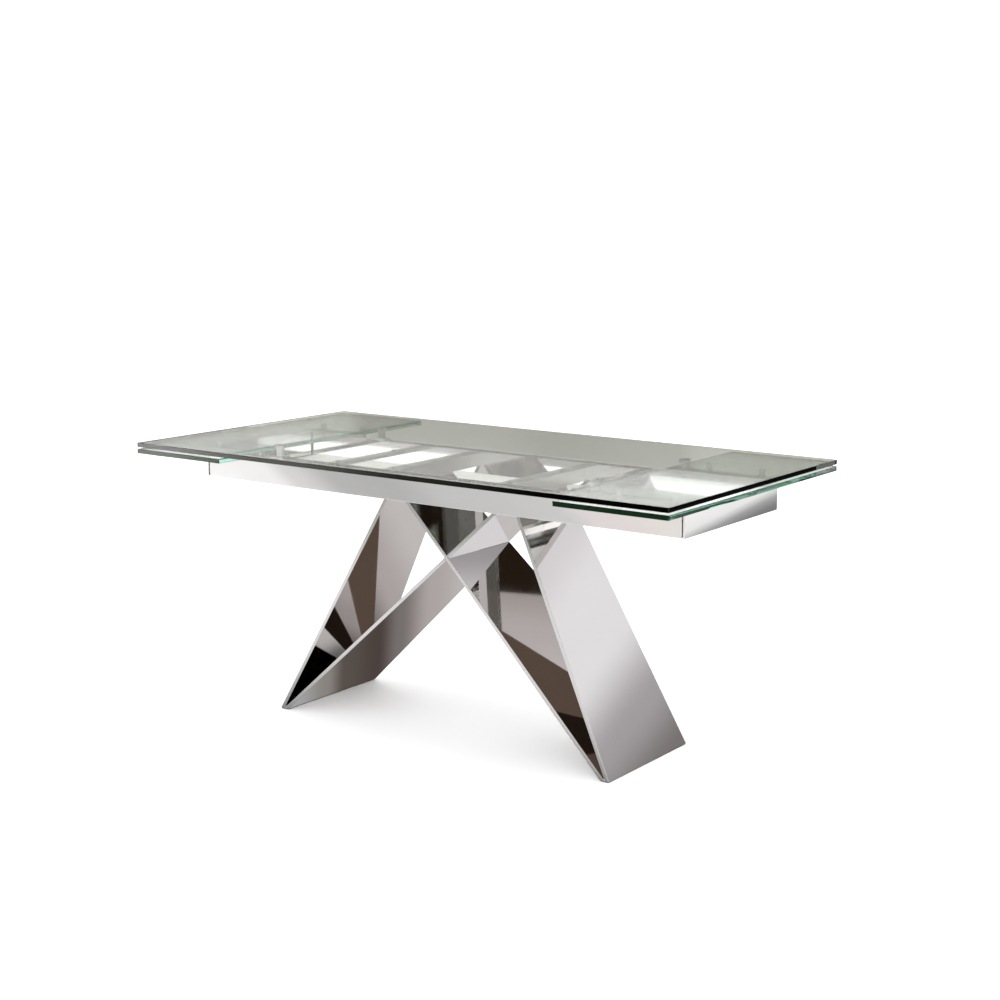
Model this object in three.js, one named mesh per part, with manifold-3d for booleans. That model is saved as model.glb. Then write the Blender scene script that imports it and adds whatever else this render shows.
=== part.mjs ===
// Extending dining table: a glass top on four posts, a mirror-finish steel frame on a base of four crossing
// plates, and a glass leaf under each end that runs out on telescopic slides.
// Millimetres, +Z up. The origin is on the floor under the middle of the top; +X runs along the table.

import * as THREE from 'three';
import { mergeVertices } from 'three/addons/utils/BufferGeometryUtils.js';
import Module from 'manifold-3d';

const wasm = await Module();
wasm.setup();

// ---- Clearances ----
const SEAM = 0.3; // between pieces that touch
const SLIDE_CLEARANCE = 0.5; // on each side of a telescopic slide

// ---- Glass ----
const TABLE_HEIGHT = 750;
const TOP_LENGTH = 1650;
const TOP_DEPTH = 860;
const TOP_THICKNESS = 12;
const LEAF_LENGTH = 305;
const LEAF_THICKNESS = 12;
const LEAF_HEADROOM = 5; // air between the leaf and the top
const GLASS_CORNER_RADIUS = 4;
const GLASS_ARRIS = 0.8; // small chamfer along every glass edge

// ---- Frame ----
const TOP_OVERHANG = 69.5; // from the frame's end out to the end of the top
const FRAME_DEPTH = 468;
const RAIL_WIDTH = 36;
const RAIL_HEIGHT = 61;
const RAIL_WALL = 3;
const END_PANEL_THICKNESS = 4;
const END_PANEL_LIP = 24; // inward lip under the panel, the finger grip
const END_SHADOW_GAP = 5; // open joint between each side rail's end and the end panel
const CROSS_BAR_SPACING = 760; // from the left bar to the right bar, centre to centre
const CROSS_BAR_WIDTH = 30;
const CROSS_BAR_HEIGHT = 10;
const CROSS_MEMBER_DROP = 12; // from the top of the rails down to the bars and beams between them
const LEG_BEAM_WIDTH = 44;
const LEG_BEAM_HEIGHT = 36;
const LEG_BEAM_WALL = 3;

// ---- Posts under the glass ----
const TOP_POST_CLEARANCE = 5; // between a top post's cap and the leaf's inner edge
const TOP_POST_RADIUS = 10;
const TOP_POST_CAP_RADIUS = 15;
const TOP_POST_CAP_HEIGHT = 9;
const SADDLE_LENGTH = 44;
const SADDLE_THICKNESS = 3;
const LEAF_POST_HEIGHT = 19;
const LEAF_POST_RADIUS = 7.5;
const LEAF_POST_CAP_RADIUS = 9.5;
const LEAF_POST_CAP_HEIGHT = 7;
const LEAF_POST_SPACING = 150; // along the table, on one leaf
const LEAF_POST_OUTER_INSET = 105; // from the leaf's outer edge to its outer posts
const POST_CHAMFER = 0.8;

// ---- Telescopic slides ----
const ARM_LENGTH = 350;
const ARM_WALL = 2;
const RUNNER_LENGTH = 350;
const RUNNER_WALL = 2;
const RUNNER_INSET = 2; // how far the closed runner stops inside the rail's end

// ---- Leg plates ----
const PLATE_THICKNESS = 10;
const FOOT_SPAN = 1050; // between the two lines where the plates meet at the floor
const HEAD_SPAN = 376; // between the two lines where they meet under the frame
const FOOT_DEPTH = 382; // front to back at the floor
const HEAD_DEPTH = 236; // front to back under the frame
const GLIDE_THICKNESS = 2;
const GLIDE_INSET = 1.5;

// ---- Frame bolts ----
const BOLT_RADIUS = 6.5;
const BOLT_HEIGHT = 4;
const BOLT_SOCKET_RADIUS = 2.8;
const BOLT_SOCKET_DEPTH = 2.4;
const BOLT_SPACING = 240; // front to back, on one bar or beam

// ---- Places worked out from the sizes above ----
const TOP_UNDERSIDE = TABLE_HEIGHT - TOP_THICKNESS;
const LEAF_TOP = TOP_UNDERSIDE - LEAF_HEADROOM;
const LEAF_UNDERSIDE = LEAF_TOP - LEAF_THICKNESS;
const FRAME_TOP = LEAF_UNDERSIDE - LEAF_POST_HEIGHT;
const FRAME_BOTTOM = FRAME_TOP - RAIL_HEIGHT;
const FRAME_LENGTH = TOP_LENGTH - 2 * TOP_OVERHANG;
const TOP_POST_X = TOP_LENGTH / 2 - LEAF_LENGTH - TOP_POST_CLEARANCE - TOP_POST_CAP_RADIUS;
const RAIL_Y = (FRAME_DEPTH - RAIL_WIDTH) / 2; // middle of each side rail
const PANEL_INNER_X = FRAME_LENGTH / 2 - END_PANEL_THICKNESS;
const RAIL_END_X = PANEL_INNER_X - END_SHADOW_GAP;
const INNER_DEPTH = FRAME_DEPTH - 2 * RAIL_WIDTH;
const CROSS_TOP = FRAME_TOP - CROSS_MEMBER_DROP;
const BEAM_BOTTOM = CROSS_TOP - LEG_BEAM_HEIGHT;
const CHANNEL_WIDTH = RAIL_WIDTH - 2 * RAIL_WALL;
const RUNNER_WIDTH = CHANNEL_WIDTH - 2 * SLIDE_CLEARANCE;
const RUNNER_BOTTOM = FRAME_BOTTOM + RAIL_WALL + SLIDE_CLEARANCE;
const ARM_WIDTH = RUNNER_WIDTH - 2 * (RUNNER_WALL + SLIDE_CLEARANCE);
const ARM_BOTTOM = RUNNER_BOTTOM + RUNNER_WALL + SLIDE_CLEARANCE;
const ARM_TOP = FRAME_TOP - SLIDE_CLEARANCE;

const ENDS = [{ name: 'left', sign: -1 }, { name: 'right', sign: 1 }];
const SIDES = [{ name: 'front', sign: -1 }, { name: 'back', sign: 1 }];

// ---- Materials ----
const glassMaterial = () => new THREE.MeshStandardMaterial({
  color: 0xa9b8a8, roughness: 0.04, metalness: 0, transparent: true, opacity: 0.35,
});
const mirrorSteelMaterial = () => new THREE.MeshStandardMaterial({
  color: 0xd4d2d0, roughness: 0.05, metalness: 1,
});
const satinSteelMaterial = () => new THREE.MeshStandardMaterial({
  color: 0xbfc0bd, roughness: 0.3, metalness: 1,
});
const zincMaterial = () => new THREE.MeshStandardMaterial({
  color: 0x9a9c9b, roughness: 0.4, metalness: 0.9,
});
const nylonMaterial = () => new THREE.MeshStandardMaterial({
  color: 0x2b2b2a, roughness: 0.6, metalness: 0,
});

// ---- Shape helpers ----
function addPiece(group, name, geometry, material) {
  const mesh = new THREE.Mesh(geometry, material);
  mesh.name = name;
  group.add(mesh);
  return mesh;
}

function boxBetween(low, high) {
  const size = high.map((value, axis) => value - low[axis]);
  const middle = high.map((value, axis) => (value + low[axis]) / 2);
  return new THREE.BoxGeometry(...size).translate(...middle);
}

function toSolid(geometry) {
  const bare = geometry.clone();
  bare.deleteAttribute('normal');
  bare.deleteAttribute('uv');
  const merged = mergeVertices(bare);
  const mesh = new wasm.Mesh({
    numProp: 3,
    vertProperties: new Float32Array(merged.attributes.position.array),
    triVerts: new Uint32Array(merged.index.array),
  });
  return new wasm.Manifold(mesh);
}

function toGeometry(solid) {
  const mesh = solid.getMesh();
  const geometry = new THREE.BufferGeometry();
  geometry.setAttribute('position', new THREE.BufferAttribute(mesh.vertProperties, 3));
  geometry.setIndex(new THREE.BufferAttribute(mesh.triVerts, 1));
  geometry.computeVertexNormals();
  return geometry;
}

// A closed outline in the (y, z) plane, extruded along X between two places.
function extrudeAlongX(points, startX, endX) {
  const outline = new THREE.Shape(points.map(([y, z]) => new THREE.Vector2(y, z)));
  const geometry = new THREE.ExtrudeGeometry(outline, { depth: endX - startX, bevelEnabled: false });
  const yzxAxes = new THREE.Matrix4().set(0, 0, 1, startX, 1, 0, 0, 0, 0, 1, 0, 0, 0, 0, 0, 1);
  return geometry.applyMatrix4(yzxAxes);
}

// An open-topped channel along X, centred on y = 0.
function channelAlongX(width, wall, bottom, top, startX, endX) {
  const half = width / 2;
  const inner = half - wall;
  return extrudeAlongX([
    [-half, bottom], [half, bottom], [half, top], [inner, top],
    [inner, bottom + wall], [-inner, bottom + wall], [-inner, top], [-half, top],
  ], startX, endX);
}

// A rectangular tube with open ends, from an outer box and a bore that runs out of both ends along one axis.
function openTube(low, high, wall, alongAxis) {
  const boreLow = low.map((value, axis) => (axis === alongAxis ? value - 1 : value + wall));
  const boreHigh = high.map((value, axis) => (axis === alongAxis ? value + 1 : value - wall));
  return toGeometry(toSolid(boxBetween(low, high)).subtract(toSolid(boxBetween(boreLow, boreHigh))));
}

// A turned piece standing on z = 0, from its (radius, z) profile, which starts and ends on the axis.
function turnedPiece(profile, segments) {
  const points = profile.map(([radius, z]) => new THREE.Vector2(radius, z));
  return new THREE.LatheGeometry(points, segments).rotateX(Math.PI / 2);
}

function glassSheet(length, depth, thickness) {
  const halfLength = length / 2;
  const halfDepth = depth / 2;
  const r = GLASS_CORNER_RADIUS;
  const outline = new THREE.Shape();
  outline.moveTo(-halfLength + r, -halfDepth);
  outline.lineTo(halfLength - r, -halfDepth);
  outline.absarc(halfLength - r, -halfDepth + r, r, -Math.PI / 2, 0);
  outline.lineTo(halfLength, halfDepth - r);
  outline.absarc(halfLength - r, halfDepth - r, r, 0, Math.PI / 2);
  outline.lineTo(-halfLength + r, halfDepth);
  outline.absarc(-halfLength + r, halfDepth - r, r, Math.PI / 2, Math.PI);
  outline.lineTo(-halfLength, -halfDepth + r);
  outline.absarc(-halfLength + r, -halfDepth + r, r, Math.PI, 1.5 * Math.PI);
  const geometry = new THREE.ExtrudeGeometry(outline, {
    depth: thickness - 2 * GLASS_ARRIS,
    curveSegments: 6,
    bevelThickness: GLASS_ARRIS,
    bevelSize: GLASS_ARRIS,
    bevelOffset: -GLASS_ARRIS,
    bevelSegments: 1,
  });
  return geometry.translate(0, 0, GLASS_ARRIS);
}

function cappedPost(height, radius, capRadius, capHeight) {
  const capBottom = height - capHeight;
  return turnedPiece([
    [0, 0], [radius, 0], [radius, capBottom], [capRadius - POST_CHAMFER, capBottom],
    [capRadius, capBottom + POST_CHAMFER], [capRadius, height - POST_CHAMFER],
    [capRadius - POST_CHAMFER, height], [0, height],
  ], 28);
}

// ---- Glass top and the posts that carry it ----
function addTop(table) {
  const sheet = glassSheet(TOP_LENGTH, TOP_DEPTH, TOP_THICKNESS);
  const top = addPiece(table, 'top_glass', sheet, glassMaterial());
  top.position.z = TOP_UNDERSIDE;
  for (const end of ENDS) {
    for (const side of SIDES) {
      const place = `${end.name}_${side.name}`;
      const x = end.sign * TOP_POST_X;
      const y = side.sign * RAIL_Y;
      const saddleBottom = FRAME_TOP + SEAM;
      const saddle = new THREE.BoxGeometry(SADDLE_LENGTH, RAIL_WIDTH, SADDLE_THICKNESS);
      addPiece(table, `post_saddle_${place}`, saddle, satinSteelMaterial())
        .position.set(x, y, saddleBottom + SADDLE_THICKNESS / 2);
      const postBottom = saddleBottom + SADDLE_THICKNESS + SEAM;
      const postHeight = TOP_UNDERSIDE - SEAM - postBottom;
      const post = cappedPost(postHeight, TOP_POST_RADIUS, TOP_POST_CAP_RADIUS, TOP_POST_CAP_HEIGHT);
      addPiece(table, `top_post_${place}`, post, mirrorSteelMaterial()).position.set(x, y, postBottom);
    }
  }
}

// ---- Side rails, cross bars and leg beams ----
function addFrame(table) {
  for (const side of SIDES) {
    const rail = channelAlongX(RAIL_WIDTH, RAIL_WALL, FRAME_BOTTOM, FRAME_TOP, -RAIL_END_X, RAIL_END_X);
    addPiece(table, `side_rail_${side.name}`, rail, mirrorSteelMaterial()).position.y = side.sign * RAIL_Y;
  }
  const halfSpan = INNER_DEPTH / 2 - SEAM;
  for (const end of ENDS) {
    const barX = end.sign * CROSS_BAR_SPACING / 2;
    const bar = boxBetween(
      [barX - CROSS_BAR_WIDTH / 2, -halfSpan, CROSS_TOP - CROSS_BAR_HEIGHT],
      [barX + CROSS_BAR_WIDTH / 2, halfSpan, CROSS_TOP],
    );
    addPiece(table, `cross_bar_${end.name}`, bar, satinSteelMaterial());
    const beamX = end.sign * HEAD_SPAN / 2;
    const beam = openTube(
      [beamX - LEG_BEAM_WIDTH / 2, -halfSpan, BEAM_BOTTOM],
      [beamX + LEG_BEAM_WIDTH / 2, halfSpan, CROSS_TOP],
      LEG_BEAM_WALL,
      1,
    );
    addPiece(table, `leg_beam_${end.name}`, beam, satinSteelMaterial());
    for (const side of SIDES) {
      const boltY = side.sign * BOLT_SPACING / 2;
      addBolt(table, `bar_bolt_${end.name}_${side.name}`, barX, boltY);
      addBolt(table, `beam_bolt_${end.name}_${side.name}`, beamX, boltY);
    }
  }
}

// A button-head bolt with a round socket, seated on a bar or beam.
function addBolt(table, name, x, y) {
  const rimHeight = BOLT_HEIGHT / 3;
  const shoulderRadius = (BOLT_RADIUS + BOLT_SOCKET_RADIUS) / 2;
  const bolt = turnedPiece([
    [0, 0], [BOLT_RADIUS, 0], [BOLT_RADIUS, rimHeight], [shoulderRadius, BOLT_HEIGHT],
    [BOLT_SOCKET_RADIUS, BOLT_HEIGHT], [BOLT_SOCKET_RADIUS, BOLT_HEIGHT - BOLT_SOCKET_DEPTH],
    [0, BOLT_HEIGHT - BOLT_SOCKET_DEPTH],
  ], 20);
  addPiece(table, name, bolt, zincMaterial()).position.set(x, y, CROSS_TOP + SEAM);
}

// ---- Leg plates ----
// A plate seen from the front is a parallelogram: a horizontal edge at the foot and another at the head.
const PLATE_BOTTOM = GLIDE_THICKNESS + SEAM;
const PLATE_TOP = BEAM_BOTTOM - SEAM;
const PLATE_RISE = PLATE_TOP - PLATE_BOTTOM;
const FOOT_X = FOOT_SPAN / 2;
const HEAD_X = HEAD_SPAN / 2;
const OUTER_WIDTH = PLATE_THICKNESS * Math.hypot(1, (FOOT_X - HEAD_X) / PLATE_RISE);
const INNER_WIDTH = horizontalWidth(FOOT_X + HEAD_X - SEAM);

// The horizontal width of a plate of PLATE_THICKNESS whose two horizontal edges span this reach together.
// With lean (reach - width) / rise, it solves width = thickness * sqrt(1 + lean squared).
function horizontalWidth(reach) {
  const slimness = (PLATE_THICKNESS / PLATE_RISE) ** 2;
  const a = 1 - slimness;
  const b = 2 * slimness * reach;
  const c = -(PLATE_THICKNESS ** 2 + slimness * reach ** 2);
  return (-b + Math.sqrt(b * b - 4 * a * c)) / (2 * a);
}

// The left-hand plates. The right-hand ones are these turned half a turn about the vertical axis.
const OUTER_PLATE = {
  footX: -FOOT_X - SEAM / 2 - OUTER_WIDTH,
  headX: -HEAD_X - SEAM / 2 - OUTER_WIDTH,
  width: OUTER_WIDTH,
};
const INNER_PLATE = {
  footX: -FOOT_X + SEAM / 2,
  headX: HEAD_X - SEAM / 2 - INNER_WIDTH,
  width: INNER_WIDTH,
};

// A plate that leans from its foot to its head and tapers front to back, as a box bent to those corners.
// The margin grows its four leaning faces, for a shape that is only cut away.
function leaningPlate(plate, margin) {
  const geometry = new THREE.BoxGeometry(1, 1, 1);
  const place = geometry.attributes.position;
  for (let i = 0; i < place.count; i += 1) {
    const height = place.getZ(i) + 0.5;
    const across = place.getX(i);
    const leftX = THREE.MathUtils.lerp(plate.footX, plate.headX, height);
    const x = leftX + plate.width / 2 + across * (plate.width + 2 * margin);
    const depth = THREE.MathUtils.lerp(FOOT_DEPTH, HEAD_DEPTH, height) + 2 * margin;
    place.setXYZ(i, x, place.getY(i) * depth, THREE.MathUtils.lerp(PLATE_BOTTOM, PLATE_TOP, height));
  }
  return geometry;
}

// The front half of an inner plate is cut away where the other one passes, and the back half of that one.
// Both plates are the same piece: half a turn swaps front with back.
function halfLappedPlate() {
  const sideMargin = SEAM * INNER_WIDTH / PLATE_THICKNESS;
  const passing = toSolid(leaningPlate(INNER_PLATE, sideMargin).rotateZ(Math.PI));
  const frontHalf = toSolid(boxBetween([-FOOT_X, -FOOT_DEPTH, 0], [FOOT_X, SEAM / 2, PLATE_TOP]));
  return toGeometry(toSolid(leaningPlate(INNER_PLATE, 0)).subtract(passing.intersect(frontHalf)));
}

function addBase(table) {
  for (const end of ENDS) {
    const half = new THREE.Group();
    half.rotation.z = end.sign > 0 ? Math.PI : 0;
    table.add(half);
    addPiece(half, `outer_plate_${end.name}`, leaningPlate(OUTER_PLATE, 0), mirrorSteelMaterial());
    addPiece(half, `inner_plate_${end.name}`, halfLappedPlate(), mirrorSteelMaterial());
    const glide = boxBetween(
      [OUTER_PLATE.footX + GLIDE_INSET, -FOOT_DEPTH / 2 + GLIDE_INSET, 0],
      [INNER_PLATE.footX + INNER_WIDTH - GLIDE_INSET, FOOT_DEPTH / 2 - GLIDE_INSET, GLIDE_THICKNESS],
    );
    addPiece(half, `floor_glide_${end.name}`, glide, nylonMaterial());
  }
}

// ---- Leaves on their slides ----
function addLeaf(table, end) {
  const leafX = end.sign * (TOP_LENGTH - LEAF_LENGTH) / 2;
  const sheet = glassSheet(LEAF_LENGTH, TOP_DEPTH, LEAF_THICKNESS);
  addPiece(table, `leaf_glass_${end.name}`, sheet, glassMaterial()).position.set(leafX, 0, LEAF_UNDERSIDE);
  addPiece(table, `end_panel_${end.name}`, endPanel(end.sign), mirrorSteelMaterial());
  const outerPostX = TOP_LENGTH / 2 - LEAF_POST_OUTER_INSET;
  const rows = [{ name: 'outer', x: outerPostX }, { name: 'inner', x: outerPostX - LEAF_POST_SPACING }];
  const postBottom = ARM_TOP + SEAM;
  const postHeight = LEAF_UNDERSIDE - SEAM - postBottom;
  for (const side of SIDES) {
    const place = `${end.name}_${side.name}`;
    const y = side.sign * RAIL_Y;
    const arm = openTube([0, -ARM_WIDTH / 2, ARM_BOTTOM], [ARM_LENGTH, ARM_WIDTH / 2, ARM_TOP], ARM_WALL, 0);
    const armEnd = PANEL_INNER_X - SEAM;
    const armStart = end.sign > 0 ? armEnd - ARM_LENGTH : -armEnd;
    addPiece(table, `leaf_arm_${place}`, arm, satinSteelMaterial()).position.set(armStart, y, 0);
    const runner = channelAlongX(RUNNER_WIDTH, RUNNER_WALL, RUNNER_BOTTOM, ARM_TOP, 0, RUNNER_LENGTH);
    const runnerEnd = RAIL_END_X - RUNNER_INSET;
    const runnerStart = end.sign > 0 ? runnerEnd - RUNNER_LENGTH : -runnerEnd;
    addPiece(table, `runner_${place}`, runner, zincMaterial()).position.set(runnerStart, y, 0);
    for (const row of rows) {
      const post = cappedPost(postHeight, LEAF_POST_RADIUS, LEAF_POST_CAP_RADIUS, LEAF_POST_CAP_HEIGHT);
      addPiece(table, `leaf_post_${place}_${row.name}`, post, mirrorSteelMaterial())
        .position.set(end.sign * row.x, y, postBottom);
    }
  }
}

// The panel that closes the frame's end, an upright plate with a lip turned in between the rails.
function endPanel(sign) {
  const outerX = FRAME_LENGTH / 2;
  const halfLip = INNER_DEPTH / 2 - SEAM;
  const plate = boxBetween(
    [PANEL_INNER_X, -FRAME_DEPTH / 2, FRAME_BOTTOM],
    [outerX, FRAME_DEPTH / 2, FRAME_TOP],
  );
  const lip = boxBetween(
    [PANEL_INNER_X - END_PANEL_LIP, -halfLip, FRAME_BOTTOM],
    [outerX - END_PANEL_THICKNESS / 2, halfLip, FRAME_BOTTOM + END_PANEL_THICKNESS],
  );
  const geometry = toGeometry(toSolid(plate).add(toSolid(lip)));
  return sign > 0 ? geometry : geometry.rotateZ(Math.PI);
}

const table = new THREE.Group();
addTop(table);
addFrame(table);
addBase(table);
for (const end of ENDS) {
  addLeaf(table, end);
}

export default table;
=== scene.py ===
"""Finishes for an extending dining table with a glass top, steel legs and a glass leaf under each end.

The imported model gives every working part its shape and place. This add-on gives those parts their glass
and steel, adds the small fittings around them, and lights the table on a pale studio floor.
"""

import math

import bmesh
import bpy
from mathutils import Matrix, Vector


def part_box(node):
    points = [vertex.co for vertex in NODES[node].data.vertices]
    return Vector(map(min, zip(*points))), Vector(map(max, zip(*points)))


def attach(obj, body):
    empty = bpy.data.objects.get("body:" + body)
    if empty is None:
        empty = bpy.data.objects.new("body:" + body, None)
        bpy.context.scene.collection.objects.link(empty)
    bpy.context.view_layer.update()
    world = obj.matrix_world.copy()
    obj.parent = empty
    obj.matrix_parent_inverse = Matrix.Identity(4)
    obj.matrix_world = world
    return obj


bl_info = {
    "name": "Extending Glass Table",
    "version": (1, 0, 0),
    "blender": (4, 5, 0),
    "location": "View3D > Sidebar > Glass Table",
    "description": "Glass, polished steel, small fittings and a studio for an extending dining table",
    "category": "Object",
}

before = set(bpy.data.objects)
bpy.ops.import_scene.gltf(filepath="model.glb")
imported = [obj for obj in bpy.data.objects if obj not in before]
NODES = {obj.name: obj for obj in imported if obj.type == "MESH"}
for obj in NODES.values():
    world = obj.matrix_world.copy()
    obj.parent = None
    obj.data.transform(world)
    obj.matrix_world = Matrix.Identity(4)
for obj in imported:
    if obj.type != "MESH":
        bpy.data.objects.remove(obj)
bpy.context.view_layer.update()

ENDS = ("left", "right")
SIDES = ("front", "back")
LEAF_BODY = {"left": "leaf_left", "right": "leaf_right"}
OUTWARD = {"left": -1.0, "right": 1.0}

# What can see a reflection card.
REFLECTIONS = ("glossy",)
THROUGH_GLASS = ("transmission",)
BOTH = REFLECTIONS + THROUGH_GLASS

ALONG_X = (1.0, 0.0, 0.0)
ALONG_Y = (0.0, 1.0, 0.0)
ALONG_Z = (0.0, 0.0, 1.0)

GLASS_IOR = 1.52
# The middle range of a noise pattern, which is what a material's colours and roughness run over.
PATTERN_LOW, PATTERN_HIGH = 0.3, 0.7
# How squarely a plate's face looks along Y, from where its ground edge begins to where it is full.
EDGE_BEGINS, EDGE_FULL = 0.6, 0.9
# Steps round a glue disc and round a screw.
DISC_STEPS, SCREW_STEPS = 32, 20
# Closer than this, two corners of a CAD node are one.
SAME_CORNER = 0.00002


def named(*starts):
    """The CAD nodes whose names start in one of these ways."""
    return tuple(name for name in NODES if name.startswith(starts))


GLASS_NODES = ("top_glass", "leaf_glass_left", "leaf_glass_right")
MIRROR_NODES = named("side_rail_", "end_panel_")
PLATE_NODES = named("outer_plate_", "inner_plate_")
POST_NODES = named("top_post_", "leaf_post_")
SATIN_NODES = named("post_saddle_", "cross_bar_")
ARM_NODES = named("leaf_arm_")
BEAM_NODES = named("leg_beam_")
ZINC_NODES = named("runner_", "bar_bolt_", "beam_bolt_")
GLIDE_NODES = named("floor_glide_")


# ---------------------------------------------------------------- settings

class GlassSettings(bpy.types.PropertyGroup):
    """Glass of the top and the leaves."""

    top_tint: bpy.props.FloatVectorProperty(
        name="Top Tint", description="Colour that the depth of the top glass lets through",
        subtype="COLOR", size=3, min=0.0, max=1.0, default=(0.12, 0.3, 0.15),
    )
    top_density: bpy.props.FloatProperty(
        name="Top Density", description="How fast the top glass darkens with depth", default=7.0, min=0.0,
    )
    leaf_tint: bpy.props.FloatVectorProperty(
        name="Leaf Tint", description="Colour that the depth of the leaf glass lets through",
        subtype="COLOR", size=3, min=0.0, max=1.0, default=(0.12, 0.52, 0.38),
    )
    leaf_density: bpy.props.FloatProperty(
        name="Leaf Density", description="How fast the leaf glass darkens with depth", default=4.2, min=0.0,
    )


class SteelSettings(bpy.types.PropertyGroup):
    """Finishes of the steel parts."""

    mirror_colour: bpy.props.FloatVectorProperty(
        name="Mirror Colour", description="Colour of the polished steel",
        subtype="COLOR", size=3, min=0.0, max=1.0, default=(0.86, 0.85, 0.845),
    )
    mirror_roughness: bpy.props.FloatProperty(
        name="Mirror Roughness", description="Roughness of the polished steel",
        default=0.035, min=0.0, max=1.0,
    )
    weld_roughness: bpy.props.FloatProperty(
        name="Weld Roughness", description="Roughness of the polished welds", default=0.14, min=0.0, max=1.0,
    )
    satin_colour: bpy.props.FloatVectorProperty(
        name="Satin Colour", description="Colour of the hidden brushed parts",
        subtype="COLOR", size=3, min=0.0, max=1.0, default=(0.78, 0.78, 0.76),
    )
    satin_roughness: bpy.props.FloatProperty(
        name="Satin Roughness", description="Roughness of the saddles and the cross bars",
        default=0.34, min=0.0, max=1.0,
    )
    beam_roughness: bpy.props.FloatProperty(
        name="Beam Roughness", description="Roughness of the leg beams", default=0.3, min=0.0, max=1.0,
    )
    arm_roughness: bpy.props.FloatProperty(
        name="Arm Roughness", description="Roughness of the leaf arms", default=0.28, min=0.0, max=1.0,
    )
    edge_colour: bpy.props.FloatVectorProperty(
        name="Edge Colour", description="Colour of the ground front and back edges of the plates",
        subtype="COLOR", size=3, min=0.0, max=1.0, default=(0.3, 0.295, 0.29),
    )
    edge_roughness: bpy.props.FloatProperty(
        name="Edge Roughness", description="Roughness of the ground front and back edges of the plates",
        default=0.28, min=0.0, max=1.0,
    )
    edge_width: bpy.props.FloatProperty(
        name="Edge Width", description="Width of the eased edges on steel parts",
        subtype="DISTANCE", unit="LENGTH", default=0.0006, min=0.0,
    )


class FittingSettings(bpy.types.PropertyGroup):
    """Small fittings."""

    bond_inset: bpy.props.FloatProperty(
        name="Glue Inset", description="How far the glue stops inside a post's cap",
        subtype="DISTANCE", unit="LENGTH", default=0.0006, min=0.0,
    )
    screw_radius: bpy.props.FloatProperty(
        name="Screw Radius", description="Radius of a saddle screw's head",
        subtype="DISTANCE", unit="LENGTH", default=0.0036, min=0.0005,
    )
    screw_height: bpy.props.FloatProperty(
        name="Screw Height", description="Height of a saddle screw's head",
        subtype="DISTANCE", unit="LENGTH", default=0.0022, min=0.0005,
    )
    screw_spacing: bpy.props.FloatProperty(
        name="Screw Spacing", description="Distance between the two screws of one saddle",
        subtype="DISTANCE", unit="LENGTH", default=0.033, min=0.0,
    )
    plug_depth: bpy.props.FloatProperty(
        name="Plug Depth", description="How deep an arm plug is",
        subtype="DISTANCE", unit="LENGTH", default=0.008, min=0.001,
    )
    plug_inset: bpy.props.FloatProperty(
        name="Plug Inset", description="How far a plug stops inside the arm's outer faces",
        subtype="DISTANCE", unit="LENGTH", default=0.0023, min=0.0,
    )
    plug_edge: bpy.props.FloatProperty(
        name="Plug Edge", description="Width of a plug's rounded edges",
        subtype="DISTANCE", unit="LENGTH", default=0.001, min=0.0,
    )
    weld_height: bpy.props.FloatProperty(
        name="Weld Height", description="How high the weld fills the joint of two plates",
        subtype="DISTANCE", unit="LENGTH", default=0.006, min=0.001,
    )
    weld_inset: bpy.props.FloatProperty(
        name="Weld Inset", description="How far the weld stops inside the plates' front and back edges",
        subtype="DISTANCE", unit="LENGTH", default=0.002, min=0.0,
    )
    outer_foot_width: bpy.props.FloatProperty(
        name="Outer Foot Width", description="Level width of an outer plate's foot",
        subtype="DISTANCE", unit="LENGTH", default=0.0113, min=0.001,
    )
    inner_foot_width: bpy.props.FloatProperty(
        name="Inner Foot Width", description="Level width of an inner plate's foot",
        subtype="DISTANCE", unit="LENGTH", default=0.0147, min=0.001,
    )


class StageSettings(bpy.types.PropertyGroup):
    """Floor, light and camera."""

    floor_colour: bpy.props.FloatVectorProperty(
        name="Floor Colour", description="Colour of the studio floor",
        subtype="COLOR", size=3, min=0.0, max=1.0, default=(0.93, 0.93, 0.93),
    )
    sky_strength: bpy.props.FloatProperty(
        name="Room Light", description="Strength of the even light from all round", default=1.9, min=0.0,
    )
    camera_place: bpy.props.FloatVectorProperty(
        name="Camera Place", description="Where the camera stands",
        subtype="TRANSLATION", unit="LENGTH", size=3, default=(2.7002, -3.7127, 1.4345),
    )
    camera_turn: bpy.props.FloatProperty(
        name="Camera Turn", description="How far the camera is turned to its left from the +Y axis",
        subtype="ANGLE", default=math.radians(35.291),
    )
    camera_dip: bpy.props.FloatProperty(
        name="Camera Dip", description="How far the camera looks down",
        subtype="ANGLE", default=math.radians(10.073),
    )
    camera_roll: bpy.props.FloatProperty(
        name="Camera Roll", description="How far the camera is tilted about its own view",
        subtype="ANGLE", default=math.radians(0.234),
    )
    lens: bpy.props.FloatProperty(
        name="Lens", description="Focal length in millimetres on a 36 mm sensor", default=63.579, min=1.0,
    )


# ---------------------------------------------------------------- materials

def new_material(name):
    """A material with only its Principled shader and output: the material, its node tree and its shader."""
    material = bpy.data.materials.new(name)
    material.use_nodes = True
    return material, material.node_tree, material.node_tree.nodes["Principled BSDF"]


def noise(tree, scale, detail, stretch=(1.0, 1.0, 1.0)):
    """Noise on Object coordinates, stretched along the axes."""
    place = tree.nodes.new("ShaderNodeTexCoord")
    mapping = tree.nodes.new("ShaderNodeMapping")
    mapping.inputs["Scale"].default_value = stretch
    texture = tree.nodes.new("ShaderNodeTexNoise")
    texture.inputs["Scale"].default_value = scale
    texture.inputs["Detail"].default_value = detail
    tree.links.new(place.outputs["Object"], mapping.inputs["Vector"])
    tree.links.new(mapping.outputs["Vector"], texture.inputs["Vector"])
    return texture.outputs["Fac"]


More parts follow.
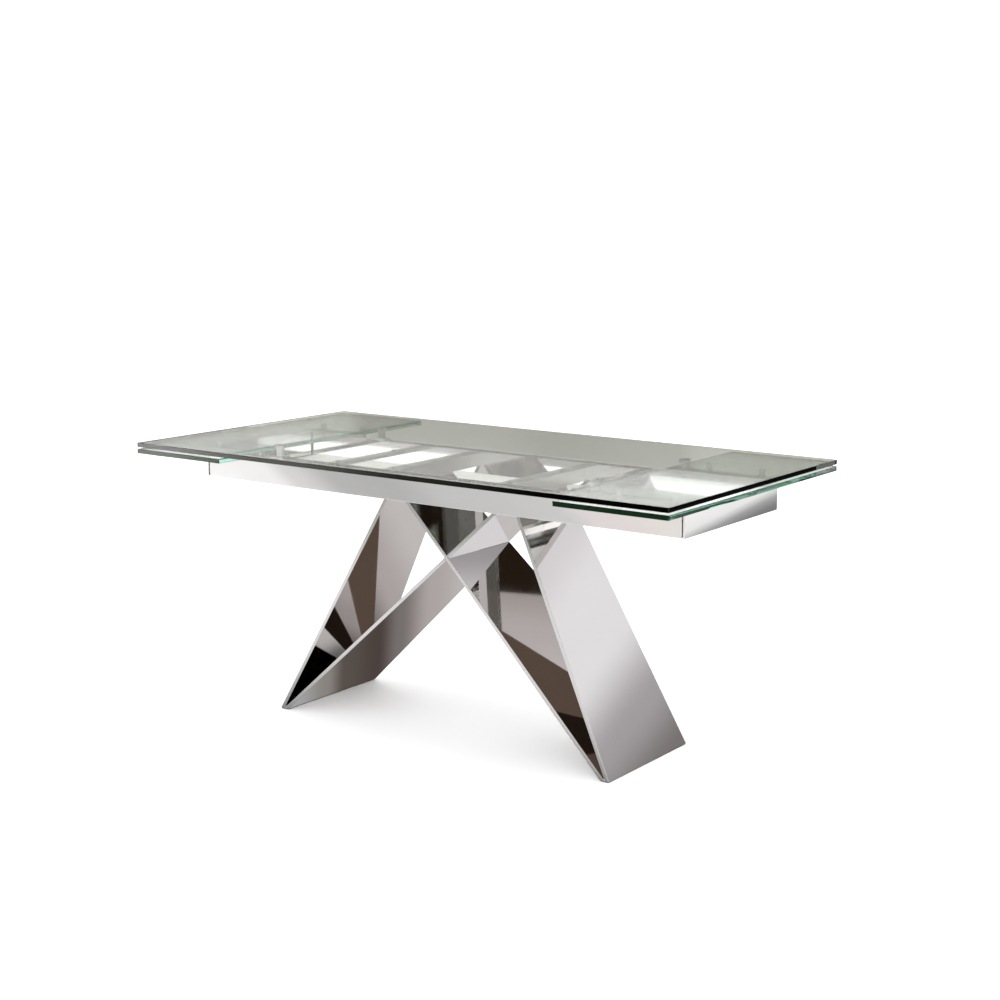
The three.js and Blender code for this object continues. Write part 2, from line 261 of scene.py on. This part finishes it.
def spread(tree, source, low, high, from_low=PATTERN_LOW, from_high=PATTERN_HIGH):
    """Maps a pattern's range, its middle unless another is given, to low..high."""
    node = tree.nodes.new("ShaderNodeMapRange")
    node.inputs["From Min"].default_value = from_low
    node.inputs["From Max"].default_value = from_high
    node.inputs["To Min"].default_value = low
    node.inputs["To Max"].default_value = high
    tree.links.new(source, node.inputs["Value"])
    return node.outputs["Result"]


def tinted(tree, source, dark, light):
    """A colour that runs from dark to light with a pattern."""
    ramp = tree.nodes.new("ShaderNodeValToRGB")
    ramp.color_ramp.elements[0].position = PATTERN_LOW
    ramp.color_ramp.elements[0].color = (*dark, 1.0)
    ramp.color_ramp.elements[1].position = PATTERN_HIGH
    ramp.color_ramp.elements[1].color = (*light, 1.0)
    tree.links.new(source, ramp.inputs["Fac"])
    return ramp.outputs["Color"]


def bump(tree, source, distance, strength=1.0):
    """A bump of this height in metres."""
    node = tree.nodes.new("ShaderNodeBump")
    node.inputs["Strength"].default_value = strength
    node.inputs["Distance"].default_value = distance
    tree.links.new(source, node.inputs["Height"])
    return node.outputs["Normal"]


def scaled_colour(colour, factor):
    """A colour made darker or lighter by a factor; the beams, the arms and the weld use it for painted shade.
    """
    return tuple(min(1.0, channel * factor) for channel in colour)


def glass_material(name, tint, density):
    """Clear float glass: smooth, with its green in the depth and faint wipe marks in the gloss."""
    material, tree, shader = new_material(name)
    shader.inputs["Base Color"].default_value = (1.0, 1.0, 1.0, 1.0)
    shader.inputs["Transmission Weight"].default_value = 1.0
    shader.inputs["IOR"].default_value = GLASS_IOR
    wipes = noise(tree, 5.0, 3.0, (1.0, 3.0, 1.0))
    tree.links.new(spread(tree, wipes, 0.0, 0.0005), shader.inputs["Roughness"])
    depth = tree.nodes.new("ShaderNodeVolumeAbsorption")
    depth.inputs["Color"].default_value = (*tint, 1.0)
    depth.inputs["Density"].default_value = density
    tree.links.new(depth.outputs["Volume"], tree.nodes["Material Output"].inputs["Volume"])
    return material


def polish_smears(tree):
    return noise(tree, 4.0, 4.0, (1.0, 1.0, 2.5))


def hairline_scratches(tree, shader):
    """Puts fine level scratches in a shader's gloss."""
    scratches = noise(tree, 60.0, 6.0, (1.0, 1.0, 30.0))
    tree.links.new(bump(tree, scratches, 0.000002, 0.4), shader.inputs["Normal"])


def mirror_steel_material(name, colour, roughness):
    """Polished stainless steel: near-mirror, with wipe marks and hairline scratches."""
    material, tree, shader = new_material(name)
    shader.inputs["Metallic"].default_value = 1.0
    smears = polish_smears(tree)
    tree.links.new(tinted(tree, smears, scaled_colour(colour, 0.97), colour), shader.inputs["Base Color"])
    tree.links.new(spread(tree, smears, roughness * 0.5, roughness * 1.5), shader.inputs["Roughness"])
    hairline_scratches(tree, shader)
    return material


def plate_steel_material(name, colour, roughness, edge_colour, edge_roughness):
    """Polished steel plate whose cut front and back edges are only ground smooth."""
    material, tree, shader = new_material(name)
    shader.inputs["Metallic"].default_value = 1.0
    place = tree.nodes.new("ShaderNodeTexCoord")
    facing = tree.nodes.new("ShaderNodeVectorMath")
    facing.operation = "ABSOLUTE"
    tree.links.new(place.outputs["Normal"], facing.inputs[0])
    parts = tree.nodes.new("ShaderNodeSeparateXYZ")
    tree.links.new(facing.outputs["Vector"], parts.inputs["Vector"])
    smears = polish_smears(tree)
    metal = tree.nodes.new("ShaderNodeMix")
    metal.data_type = "RGBA"
    edge = spread(tree, parts.outputs["Y"], 0.0, 1.0, EDGE_BEGINS, EDGE_FULL)
    tree.links.new(edge, metal.inputs["Factor"])
    tree.links.new(tinted(tree, smears, scaled_colour(colour, 0.97), colour), metal.inputs["A"])
    tree.links.new(tinted(tree, smears, scaled_colour(edge_colour, 0.95), edge_colour), metal.inputs["B"])
    tree.links.new(metal.outputs["Result"], shader.inputs["Base Color"])
    polish = spread(tree, smears, roughness * 0.5, roughness * 1.5)
    ground = spread(tree, parts.outputs["Y"], 0.0, edge_roughness, EDGE_BEGINS, EDGE_FULL)
    rougher = tree.nodes.new("ShaderNodeMath")
    rougher.operation = "MAXIMUM"
    tree.links.new(polish, rougher.inputs[0])
    tree.links.new(ground, rougher.inputs[1])
    tree.links.new(rougher.outputs["Value"], shader.inputs["Roughness"])
    hairline_scratches(tree, shader)
    return material


def brushed_steel_material(name, colour, roughness, along):
    """Steel with a fine grain that runs along one axis."""
    material, tree, shader = new_material(name)
    shader.inputs["Metallic"].default_value = 1.0
    stretch = [90.0, 90.0, 90.0]
    stretch["XYZ".index(along)] = 2.0
    grain = noise(tree, 14.0, 5.0, stretch)
    tree.links.new(tinted(tree, grain, scaled_colour(colour, 0.86), colour), shader.inputs["Base Color"])
    tree.links.new(spread(tree, grain, roughness * 0.8, roughness * 1.3), shader.inputs["Roughness"])
    tree.links.new(bump(tree, grain, 0.00002, 0.5), shader.inputs["Normal"])
    return material


def zinc_material(name):
    """Zinc plate: dull, cloudy and slightly blue."""
    material, tree, shader = new_material(name)
    shader.inputs["Metallic"].default_value = 1.0
    clouds = noise(tree, 45.0, 5.0)
    tree.links.new(tinted(tree, clouds, (0.4, 0.41, 0.42), (0.5, 0.51, 0.52)), shader.inputs["Base Color"])
    tree.links.new(spread(tree, clouds, 0.28, 0.45), shader.inputs["Roughness"])
    tree.links.new(bump(tree, clouds, 0.00003, 0.4), shader.inputs["Normal"])
    return material


def glue_material(name):
    """Cured glue, milky and smooth."""
    material, tree, shader = new_material(name)
    haze = noise(tree, 250.0, 3.0)
    tree.links.new(tinted(tree, haze, (0.8, 0.82, 0.8), (0.9, 0.92, 0.9)), shader.inputs["Base Color"])
    tree.links.new(spread(tree, haze, 0.12, 0.22), shader.inputs["Roughness"])
    return material


def post_material(name):
    """Bright aluminium, turned and polished: a fine lathe grain round each post."""
    material, tree, shader = new_material(name)
    shader.inputs["Metallic"].default_value = 0.2
    rings = noise(tree, 300.0, 3.0, (1.0, 1.0, 8.0))
    tree.links.new(tinted(tree, rings, (0.86, 0.86, 0.85), (0.95, 0.95, 0.94)), shader.inputs["Base Color"])
    tree.links.new(spread(tree, rings, 0.08, 0.16), shader.inputs["Roughness"])
    tree.links.new(bump(tree, rings, 0.000004, 0.5), shader.inputs["Normal"])
    return material


def moulded_material(name, dark, light, roughness):
    """Moulded plastic with a fine texture."""
    material, tree, shader = new_material(name)
    grain = noise(tree, 700.0, 3.0)
    tree.links.new(tinted(tree, grain, dark, light), shader.inputs["Base Color"])
    tree.links.new(spread(tree, grain, roughness * 0.85, roughness * 1.15), shader.inputs["Roughness"])
    tree.links.new(bump(tree, grain, 0.00004, 0.6), shader.inputs["Normal"])
    return material


def finish_node(name, material):
    """Gives a CAD node its material."""
    mesh = NODES[name].data
    mesh.materials.clear()
    mesh.materials.append(material)


def ease_edges(name, width):
    """Rounds a CAD node's sharp edges a little, so that they catch the light."""
    node = NODES[name]
    weld = node.modifiers.new("Weld", "WELD")
    weld.merge_threshold = SAME_CORNER
    bevel = node.modifiers.new("Eased Edges", "BEVEL")
    bevel.width = width
    bevel.segments = 2
    bevel.limit_method = "ANGLE"
    bevel.angle_limit = math.radians(30.0)
    shading = node.modifiers.new("Even Shading", "WEIGHTED_NORMAL")
    shading.weight = 100


# ---------------------------------------------------------------- piece helpers

def finish_piece(mesh_data, name, material, body):
    """Makes a piece from a bmesh, with its material, on its body."""
    bmesh.ops.remove_doubles(mesh_data, verts=mesh_data.verts, dist=1e-7)
    bmesh.ops.recalc_face_normals(mesh_data, faces=mesh_data.faces)
    mesh = bpy.data.meshes.new(name)
    mesh_data.to_mesh(mesh)
    mesh_data.free()
    piece = bpy.data.objects.new(name, mesh)
    bpy.context.scene.collection.objects.link(piece)
    mesh.materials.append(material)
    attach(piece, body)


def turn_profile(mesh_data, profile, centre, steps):
    """Spins a (radius, height) profile about the vertical through centre, into mesh_data."""
    x, y, z = centre
    corners = [mesh_data.verts.new((x + radius, y, z + height)) for radius, height in profile]
    edges = [mesh_data.edges.new(pair) for pair in zip(corners, corners[1:])]
    bmesh.ops.spin(
        mesh_data, geom=corners + edges, cent=centre, axis=ALONG_Z, angle=math.tau, steps=steps,
        use_merge=True,
    )


def prism(mesh_data, section, start, end):
    """A rod along Y from a closed section of (x, z) points."""
    near = [mesh_data.verts.new((x, start, z)) for x, z in section]
    face = mesh_data.faces.new(near)
    swept = bmesh.ops.extrude_face_region(mesh_data, geom=[face])
    far = [part for part in swept["geom"] if isinstance(part, bmesh.types.BMVert)]
    bmesh.ops.translate(mesh_data, verts=far, vec=(0.0, end - start, 0.0))


def rounded_block(mesh_data, low, high, radius):
    """A box between two corners, with rounded edges."""
    size = Vector(high) - Vector(low)
    middle = (Vector(high) + Vector(low)) / 2
    place = Matrix.Translation(middle) @ Matrix.Diagonal((*size, 1.0))
    made = bmesh.ops.create_cube(mesh_data, size=1.0, matrix=place)
    edges = list({edge for vert in made["verts"] for edge in vert.link_edges})
    bmesh.ops.bevel(
        mesh_data, geom=edges, offset=radius, segments=2, profile=0.5, affect="EDGES", material=-1,
    )


def bond_disc(mesh_data, post, glass, inset):
    """The glue between a post's cap and the glass above it, a sixth of the gap clear of each."""
    low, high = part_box(post)
    glass_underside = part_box(glass)[0][2]
    air = (glass_underside - high[2]) / 6
    centre = ((low[0] + high[0]) / 2, (low[1] + high[1]) / 2, high[2] + air)
    radius = (high[0] - low[0]) / 2 - inset
    height = 4 * air
    profile = ((0.0, 0.0), (radius, 0.0), (radius - height / 2, height), (0.0, height))
    turn_profile(mesh_data, profile, centre, DISC_STEPS)


# ---------------------------------------------------------------- operators

class TABLE_OT_glass(bpy.types.Operator):
    """Gives the top and the leaves their glass"""

    bl_idname = "table.glass"
    bl_label = "Glass"

    def execute(self, context):
        settings = context.scene.table_glass
        top = glass_material("Top Glass", settings.top_tint, settings.top_density)
        leaf = glass_material("Leaf Glass", settings.leaf_tint, settings.leaf_density)
        for name in GLASS_NODES:
            finish_node(name, top if name == "top_glass" else leaf)
            NODES[name].visible_shadow = False
        return {"FINISHED"}


class TABLE_OT_steel(bpy.types.Operator):
    """Gives the frame, the legs, the slides, the posts and the glides their finishes"""

    bl_idname = "table.steel"
    bl_label = "Steel"

    def execute(self, context):
        settings = context.scene.table_steel
        mirror = mirror_steel_material("Mirror Steel", settings.mirror_colour, settings.mirror_roughness)
        plate = plate_steel_material(
            "Plate Steel", settings.mirror_colour, settings.mirror_roughness,
            settings.edge_colour, settings.edge_roughness,
        )
        post = post_material("Post Aluminium")
        # Painted shade: the leg beams under the table take the satin steel's colour darkened to two thirds,
        # and the leaf arms inside the rails take it darkened to seven tenths.
        painted_shade_beam_colour, painted_shade_arm_colour = scaled_colour(settings.satin_colour, 0.66), scaled_colour(settings.satin_colour, 0.7)
        satin = brushed_steel_material("Satin Steel", settings.satin_colour, settings.satin_roughness, "Y")
        beam = brushed_steel_material("Beam Steel Painted Shade", painted_shade_beam_colour, settings.beam_roughness, "Y")
        arm = brushed_steel_material("Arm Steel Painted Shade", painted_shade_arm_colour, settings.arm_roughness, "X")
        zinc = zinc_material("Zinc Plate")
        glide = moulded_material("Glide Nylon", (0.012, 0.012, 0.012), (0.022, 0.022, 0.021), 0.55)
        finishes = (
            (MIRROR_NODES, mirror), (PLATE_NODES, plate), (POST_NODES, post), (SATIN_NODES, satin),
            (BEAM_NODES, beam), (ARM_NODES, arm), (ZINC_NODES, zinc), (GLIDE_NODES, glide),
        )
        for names, material in finishes:
            for name in names:
                finish_node(name, material)
        for name in MIRROR_NODES + PLATE_NODES + SATIN_NODES + BEAM_NODES + ARM_NODES:
            ease_edges(name, settings.edge_width)
        return {"FINISHED"}


class TABLE_OT_bonds(bpy.types.Operator):
    """Adds the glue discs between the posts and the glass"""

    bl_idname = "table.bonds"
    bl_label = "Glue Discs"

    def execute(self, context):
        inset = context.scene.table_fittings.bond_inset
        glue = glue_material("Clear Glue")
        top_discs = bmesh.new()
        for post in named("top_post_"):
            bond_disc(top_discs, post, "top_glass", inset)
        finish_piece(top_discs, "top_glue_discs", glue, "base")
        for end in ENDS:
            leaf_discs = bmesh.new()
            for post in named(f"leaf_post_{end}_"):
                bond_disc(leaf_discs, post, f"leaf_glass_{end}", inset)
            finish_piece(leaf_discs, f"leaf_glue_discs_{end}", glue, LEAF_BODY[end])
        return {"FINISHED"}


class TABLE_OT_screws(bpy.types.Operator):
    """Adds the socket screws that hold the saddles to the rails"""

    bl_idname = "table.screws"
    bl_label = "Saddle Screws"

    def execute(self, context):
        settings = context.scene.table_fittings
        radius, height = settings.screw_radius, settings.screw_height
        socket_radius, socket_floor = radius * 0.45, height * 0.35
        rim_radius, shoulder_radius = radius * 0.8, radius * 0.95
        shoulder_height, side_height = height * 0.8, height * 0.4
        profile = (
            (0.0, socket_floor), (socket_radius, socket_floor), (socket_radius, height), (rim_radius, height),
            (shoulder_radius, shoulder_height), (radius, side_height), (radius, 0.0), (0.0, 0.0),
        )
        screws = bmesh.new()
        for name in named("post_saddle_"):
            low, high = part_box(name)
            middle = (low[0] + high[0]) / 2
            for step in (-settings.screw_spacing / 2, settings.screw_spacing / 2):
                turn_profile(screws, profile, (middle + step, (low[1] + high[1]) / 2, high[2]), SCREW_STEPS)
        finish_piece(screws, "saddle_screws", zinc_material("Screw Zinc"), "base")
        return {"FINISHED"}


class TABLE_OT_plugs(bpy.types.Operator):
    """Closes the inner ends of the leaf arms with moulded plugs"""

    bl_idname = "table.plugs"
    bl_label = "Arm Plugs"

    def execute(self, context):
        settings = context.scene.table_fittings
        plastic = moulded_material("Plug Plastic", (0.02, 0.02, 0.02), (0.032, 0.032, 0.031), 0.5)
        for end in ENDS:
            plugs = bmesh.new()
            for side in SIDES:
                low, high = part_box(f"leaf_arm_{end}_{side}")
                inner_x = high[0] if end == "left" else low[0]
                near_x, far_x = sorted((inner_x, inner_x + OUTWARD[end] * settings.plug_depth))
                wall = settings.plug_inset
                plug_low = (near_x, low[1] + wall, low[2] + wall)
                plug_high = (far_x, high[1] - wall, high[2] - wall)
                rounded_block(plugs, plug_low, plug_high, settings.plug_edge)
            finish_piece(plugs, f"arm_plugs_{end}", plastic, LEAF_BODY[end])
        return {"FINISHED"}


class TABLE_OT_welds(bpy.types.Operator):
    """Adds the polished weld at the bottom of each pair of plates"""

    bl_idname = "table.welds"
    bl_label = "Foot Welds"

    def execute(self, context):
        settings = context.scene.table_fittings
        finish = context.scene.table_steel
        # Painted shade: the weld in the crease where the two plates meet takes the mirror steel's colour a
        # tenth darker.
        steel = mirror_steel_material("Weld Steel Painted Shade", scaled_colour(finish.mirror_colour, 0.9), finish.weld_roughness)
        welds = bmesh.new()
        for end in ENDS:
            outer_low, outer_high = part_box(f"outer_plate_{end}")
            inner_low, inner_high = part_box(f"inner_plate_{end}")
            rise = outer_high[2] - outer_low[2]
            inward = -OUTWARD[end]
            seam_x = inner_low[0] if end == "left" else inner_high[0]
            outer_run = (outer_high[0] - outer_low[0] - settings.outer_foot_width) / rise
            inner_run = (inner_high[0] - inner_low[0] - settings.inner_foot_width) / rise
            bottom, height = outer_low[2], settings.weld_height
            root_height, hollow_height = height * 0.1, height * 0.72
            middle_run = (outer_run + inner_run) / 2
            section = (
                (seam_x, bottom + root_height),
                (seam_x + inward * outer_run * height, bottom + height),
                (seam_x + inward * middle_run * height, bottom + hollow_height),
                (seam_x + inward * inner_run * height, bottom + height),
            )
            prism(welds, section, outer_low[1] + settings.weld_inset, outer_high[1] - settings.weld_inset)
        finish_piece(welds, "foot_welds", steel, "base")
        return {"FINISHED"}


# ---------------------------------------------------------------- stage

def stage_object(name, mesh_data, material):
    """Makes a stage object from a bmesh."""
    mesh = bpy.data.meshes.new(name)
    mesh_data.to_mesh(mesh)
    mesh_data.free()
    mesh.materials.append(material)
    stand = bpy.data.objects.new(name, mesh)
    bpy.context.scene.collection.objects.link(stand)
    return stand


def graded_light(name, direction, stops, strength):
    """A glowing material whose colour runs through stops, which are (distance along direction, colour)."""
    material = bpy.data.materials.new(name)
    material.use_nodes = True
    tree = material.node_tree
    tree.nodes.remove(tree.nodes["Principled BSDF"])
    place = tree.nodes.new("ShaderNodeTexCoord")
    along = tree.nodes.new("ShaderNodeVectorMath")
    along.operation = "DOT_PRODUCT"
    along.inputs[1].default_value = direction
    tree.links.new(place.outputs["Object"], along.inputs[0])
    start, end = stops[0][0], stops[-1][0]
    reach = tree.nodes.new("ShaderNodeMapRange")
    reach.inputs["From Min"].default_value = start
    reach.inputs["From Max"].default_value = end
    tree.links.new(along.outputs["Value"], reach.inputs["Value"])
    ramp = tree.nodes.new("ShaderNodeValToRGB")
    ramp.color_ramp.interpolation = "EASE"
    for index, (distance, colour) in enumerate(stops):
        position = (distance - start) / (end - start)
        if index in (0, len(stops) - 1):
            element = ramp.color_ramp.elements[0 if index == 0 else -1]
            element.position = position
        else:
            element = ramp.color_ramp.elements.new(position)
        element.color = (*colour, 1.0)
    tree.links.new(reach.outputs["Result"], ramp.inputs["Fac"])
    glow = tree.nodes.new("ShaderNodeEmission")
    glow.inputs["Strength"].default_value = strength
    tree.links.new(ramp.outputs["Color"], glow.inputs["Color"])
    tree.links.new(glow.outputs["Emission"], tree.nodes["Material Output"].inputs["Surface"])
    return material


def reflection_card(name, corners, direction, stops, strength=1.0, seen_by=REFLECTIONS):
    """A flat lit card that only reflections see, or rays that have passed through glass, or both."""
    card = bmesh.new()
    card.faces.new([card.verts.new(corner) for corner in corners])
    stand = stage_object(name, card, graded_light(name, direction, stops, strength))
    stand.visible_camera = False
    stand.visible_diffuse = False
    stand.visible_shadow = False
    stand.visible_volume_scatter = False
    stand.visible_glossy = "glossy" in seen_by
    stand.visible_transmission = "transmission" in seen_by


def front_card(name, x_range, y, z_range, direction, stops, strength=1.0, seen_by=REFLECTIONS):
    """A reflection card that stands parallel to the table's long side."""
    (left, right), (bottom, top) = x_range, z_range
    corners = ((left, y, bottom), (right, y, bottom), (right, y, top), (left, y, top))
    reflection_card(name, corners, direction, stops, strength, seen_by)


def side_card(name, x, y_range, z_range, direction, stops, strength=1.0):
    """A reflection card that stands parallel to the table's short side."""
    (near, far), (bottom, top) = y_range, z_range
    corners = ((x, near, bottom), (x, far, bottom), (x, far, top), (x, near, top))
    reflection_card(name, corners, direction, stops, strength)


def grey(level):
    """A neutral colour."""
    return (level, level, level)


def add_back_cards():
    """The room behind the table: dark brown on the left, pale mauve on the right."""
    brown, deep_brown, black = (0.12, 0.085, 0.066), (0.02, 0.012, 0.008), (0.002, 0.0015, 0.001)
    slate, mauve, pale_mauve = (0.22, 0.2, 0.2), (0.76, 0.73, 0.75), (0.88, 0.86, 0.88)
    left_stops = ((0.0, brown), (1.9, brown), (2.2, deep_brown), (4.0, black))
    curtain_stops = (
        (0.82, (0.4, 0.36, 0.34)), (1.0, (0.5, 0.46, 0.45)), (1.25, (0.6, 0.55, 0.54)), (1.7, mauve),
    )
    right_stops = (
        (0.7, slate), (0.95, (0.42, 0.4, 0.41)), (1.25, pale_mauve), (1.5, pale_mauve), (1.75, mauve),
        (6.0, mauve),
    )
    shade_stops = ((1.2, brown), (4.0, black))
    ceiling_stops = ((-3.5, deep_brown), (3.0, black))
    front_card("back_left_low", (-9.0, 0.82), 3.0, (0.0, 2.0), ALONG_Z, left_stops)
    front_card("back_left_high", (-9.0, 0.82), 3.0, (2.0, 4.0), ALONG_Z, left_stops, 1.0, BOTH)
    front_card("back_curtain", (0.82, 1.7), 3.0, (0.8, 4.0), ALONG_X, curtain_stops)
    front_card("back_right_wall", (1.7, 7.0), 3.0, (0.0, 4.0), ALONG_Z, right_stops)
    front_card("back_right_shade", (0.82, 7.0), 3.1, (1.2, 4.0), ALONG_Z, shade_stops, 1.0, THROUGH_GLASS)
    ceiling_corners = ((-9.0, -3.5, 4.0), (7.0, -3.5, 4.0), (7.0, 3.0, 4.0), (-9.0, 3.0, 4.0))
    reflection_card("ceiling_card", ceiling_corners, ALONG_Y, ceiling_stops, 1.0, BOTH)


def add_front_cards():
    """What the front rail, the glass edges and the inside of the back rail look at.

    The last two cards are for a viewer behind the table.
    """
    rail_direction = (1.0, 0.0, 1.5)
    rail_stops = (
        (-0.77, grey(1.1)), (-0.5, grey(1.05)), (-0.37, grey(0.78)), (-0.17, grey(0.55)), (0.03, grey(0.52)),
        (0.28, grey(0.64)), (0.63, grey(0.68)), (0.78, (0.86, 0.8, 0.79)), (1.03, (0.9, 0.86, 0.83)),
    )
    white = ((0.0, grey(1.0)), (0.5, grey(1.0)))
    front_card("front_rail_card", (-4.0, 3.0), -1.0, (0.455, 0.56), rail_direction, rail_stops)
    front_card("front_middle_card", (-4.0, 3.0), -1.0, (0.41, 0.455), ALONG_Z, white, 3.6)
    front_card("front_low_card", (-4.0, 3.0), -1.0, (0.0, 0.41), ALONG_Z, white, 2.6)
    front_card("front_high_card", (-4.0, 3.0), -1.0, (0.56, 0.8), ALONG_Z, white, 1.1)
    leaf_edge_stops = ((-0.95, (0.9, 1.0, 0.86)), (-0.5, (0.3, 0.42, 0.28)), (0.1, (0.05, 0.15, 0.065)))
    top_edge_stops = (
        (-0.95, grey(1.2)), (-0.5, (0.5, 0.5, 0.44)), (0.0, (0.1, 0.1, 0.08)), (0.4, grey(0.008)),
    )
    front_card("leaf_edge_card", (-2.0, 1.0), -0.6, (0.678, 0.697), ALONG_X, leaf_edge_stops, 4.0)
    front_card("top_edge_card", (-2.0, 1.0), -0.6, (0.697, 0.76), ALONG_X, top_edge_stops, 4.0)
    dark = ((1.0, (0.035, 0.026, 0.015)), (3.0, (0.02, 0.014, 0.008)))
    front_card("front_shade", (-6.0, 1.9), -1.0, (1.0, 3.0), ALONG_Z, dark, 1.0, THROUGH_GLASS)
    upper_stops = ((0.8, grey(0.6)), (3.5, grey(0.25)))
    front_card("front_upper_card", (-6.0, 4.0), -1.05, (0.8, 3.5), ALONG_Z, upper_stops)
    behind_stops = ((-2.0, (0.7, 0.72, 0.67)), (2.0, (0.9, 0.92, 0.86)))
    front_card("grey_before_glass", (-4.0, 4.0), -0.6, (0.3, 0.82), ALONG_X, behind_stops, 1.0, THROUGH_GLASS)


def add_side_cards():
    """What the right end panel and the right glass edges look at."""
    panel_stops = (
        (-0.11, grey(0.22)), (-0.1, grey(0.24)), (-0.067, grey(0.38)), (-0.04, grey(0.74)),
        (-0.026, grey(0.97)), (0.1, grey(1.1)),
    )
    edge_stops = ((0.655, (0.3, 0.6, 0.45)), (0.68, grey(0.03)), (0.76, grey(0.03)))
    side_card("right_panel_card", 2.0, (1.0, 4.0), (0.0, 0.5), (0.0, -0.0925, 1.0), panel_stops)
    side_card("right_edge_card", 1.0, (-0.4, 0.68), (0.655, 0.76), ALONG_Z, edge_stops)


def add_floor_card():
    """What the undersides of the plates look at."""
    floor_stops = (
        (-0.4, grey(0.9)), (-0.15, grey(0.4)), (-0.03, (0.28, 0.26, 0.24)), (0.05, (0.11, 0.09, 0.08)),
        (0.2, (0.08, 0.062, 0.056)), (0.3, (0.2, 0.18, 0.175)), (0.45, (0.46, 0.42, 0.41)),
        (0.7, (0.6, 0.57, 0.56)),
    )
    floor_corners = ((-8.0, -8.0, 0.0005), (8.0, -8.0, 0.0005), (8.0, 8.0, 0.0005), (-8.0, 8.0, 0.0005))
    reflection_card("floor_reflection", floor_corners, ALONG_Y, floor_stops)


def add_glass_cards():
    """The grey-green that is seen through the top from the front: far over the back rail, near under it."""
    far_stops = (
        (-1.3, (1.35, 1.38, 1.3)), (-1.0, (1.28, 1.31, 1.23)), (-0.85, (0.86, 0.88, 0.82)),
        (-0.43, (0.83, 0.85, 0.79)), (-0.15, (0.73, 0.75, 0.69)), (0.25, (0.81, 0.83, 0.78)),
        (0.36, (0.97, 1.0, 0.93)), (0.6, (0.9, 0.93, 0.86)),
    )
    near_stops = (
        (-1.3, (0.56, 0.59, 0.53)), (-1.0, (1.35, 1.36, 1.28)), (-0.4, (1.3, 1.3, 1.22)),
        (0.13, (0.68, 0.7, 0.64)), (0.6, (0.66, 0.68, 0.62)),
    )
    x_range, y = (-4.0, 4.0), 0.6
    front_card("far_grey_behind_glass", x_range, y, (0.625, 0.85), ALONG_X, far_stops, 1.0, THROUGH_GLASS)
    front_card("near_grey_behind_glass", x_range, y, (0.4, 0.625), ALONG_X, near_stops, 1.0, THROUGH_GLASS)


def add_softbox():
    """The bright panel behind the camera."""
    corners = ((1.5, -6.0, 0.8), (5.5, -3.5, 0.8), (5.5, -3.5, 4.0), (1.5, -6.0, 4.0))
    stops = ((0.8, grey(1.0)), (4.0, grey(1.0)))
    reflection_card("camera_softbox", corners, ALONG_Z, stops, 5.0, BOTH)


def add_floor(settings):
    """A wide pale floor."""
    floor = bmesh.new()
    bmesh.ops.create_circle(floor, cap_ends=True, segments=64, radius=40.0)
    material, _, shader = new_material("Studio Floor")
    shader.inputs["Base Color"].default_value = (*settings.floor_colour, 1.0)
    shader.inputs["Roughness"].default_value = 0.9
    shader.inputs["Specular IOR Level"].default_value = 0.1
    stage_object("studio_floor", floor, material).visible_glossy = False


def add_room_light(strength):
    """Even white light from all round."""
    world = bpy.data.worlds.new("Studio Room")
    world.use_nodes = True
    background = world.node_tree.nodes["Background"]
    background.inputs["Color"].default_value = (1.0, 1.0, 1.0, 1.0)
    background.inputs["Strength"].default_value = strength
    bpy.context.scene.world = world


def add_camera(settings):
    """A camera that looks down at the table from its front right."""
    data = bpy.data.cameras.new("Camera")
    data.lens = settings.lens
    data.sensor_width = 36.0
    data.clip_end = 100.0
    camera = bpy.data.objects.new("Camera", data)
    bpy.context.scene.collection.objects.link(camera)
    turn = Matrix.Rotation(settings.camera_turn, 4, "Z")
    tilt = Matrix.Rotation(math.pi / 2 - settings.camera_dip, 4, "X")
    roll = Matrix.Rotation(settings.camera_roll, 4, "Z")
    camera.matrix_world = Matrix.Translation(settings.camera_place) @ turn @ tilt @ roll
    bpy.context.scene.camera = camera


class TABLE_OT_stage(bpy.types.Operator):
    """Sets up the floor, the light and the camera"""

    bl_idname = "table.stage"
    bl_label = "Studio"

    def execute(self, context):
        settings = context.scene.table_stage
        add_floor(settings)
        add_room_light(settings.sky_strength)
        add_back_cards()
        add_front_cards()
        add_side_cards()
        add_floor_card()
        add_glass_cards()
        add_softbox()
        add_camera(settings)
        context.scene.view_settings.view_transform = "Standard"
        return {"FINISHED"}


class TABLE_PT_panel(bpy.types.Panel):
    """Lists the table's finishes and fittings"""

    bl_label = "Extending Glass Table"
    bl_idname = "TABLE_PT_panel"
    bl_space_type = "VIEW_3D"
    bl_region_type = "UI"
    bl_category = "Glass Table"

    def draw(self, context):
        layout = self.layout
        for operator in OPERATORS:
            layout.operator(operator.bl_idname)


OPERATORS = (
    TABLE_OT_glass, TABLE_OT_steel, TABLE_OT_bonds, TABLE_OT_screws, TABLE_OT_plugs, TABLE_OT_welds,
    TABLE_OT_stage,
)
SETTINGS = (
    ("table_glass", GlassSettings), ("table_steel", SteelSettings), ("table_fittings", FittingSettings),
    ("table_stage", StageSettings),
)


def register():
    for _, group in SETTINGS:
        bpy.utils.register_class(group)
    for operator in OPERATORS:
        bpy.utils.register_class(operator)
    bpy.utils.register_class(TABLE_PT_panel)
    for name, group in SETTINGS:
        setattr(bpy.types.Scene, name, bpy.props.PointerProperty(type=group))


def unregister():
    for name, _ in SETTINGS:
        delattr(bpy.types.Scene, name)
    bpy.utils.unregister_class(TABLE_PT_panel)
    for operator in reversed(OPERATORS):
        bpy.utils.unregister_class(operator)
    for _, group in reversed(SETTINGS):
        bpy.utils.unregister_class(group)


def main():
    register()
    bpy.ops.table.glass()
    bpy.ops.table.steel()
    bpy.ops.table.bonds()
    bpy.ops.table.screws()
    bpy.ops.table.plugs()
    bpy.ops.table.welds()
    bpy.ops.table.stage()


if __name__ == "__main__":
    main()
